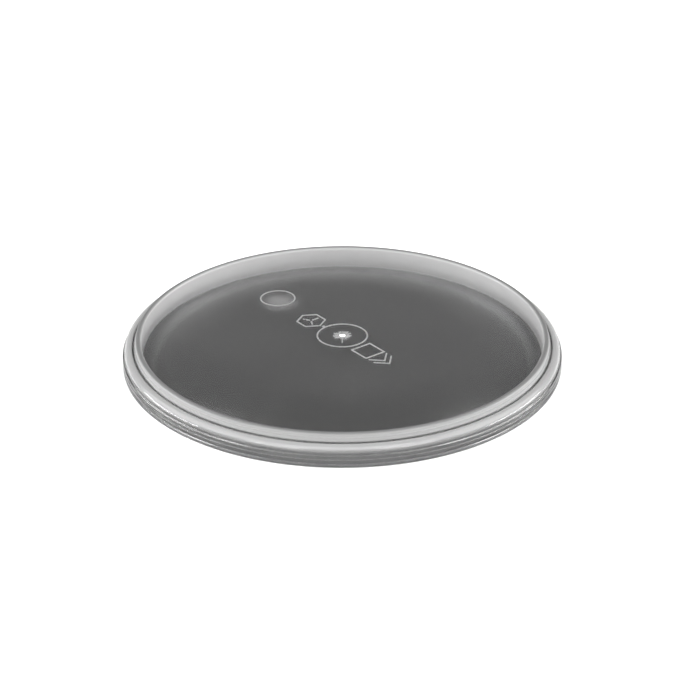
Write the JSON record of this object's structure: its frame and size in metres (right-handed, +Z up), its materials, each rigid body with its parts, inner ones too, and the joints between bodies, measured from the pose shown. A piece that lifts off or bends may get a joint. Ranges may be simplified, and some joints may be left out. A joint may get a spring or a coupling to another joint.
{
  "type": "petri dish",
  "caption": "Shallow round petri dish: a clear lift-off lid with a raised rim, a stepped skirt and moulded marks over a low smoke-grey dish.",
  "frame": {"origin": "centre of the dish's underside, on the surface that it stands on", "axes": "+Z up along the dish's axis of symmetry"},
  "size_m": [0.1, 0.1, 0.0068],
  "materials": {
    "clear_plastic": "clear, glossy, injection moulded",
    "smoke_plastic": "dark grey, smooth"
  },
  "bodies": {
    "dish": {"dish": "smoke_plastic"},
    "lid": {"lid": "clear_plastic"}
  },
  "joints": [
    {"name": "lid_lift", "type": "slide", "parent": "dish", "child": "lid", "axis": [0, 0, 1], "range_m": [0, 0.03]}
  ]
}
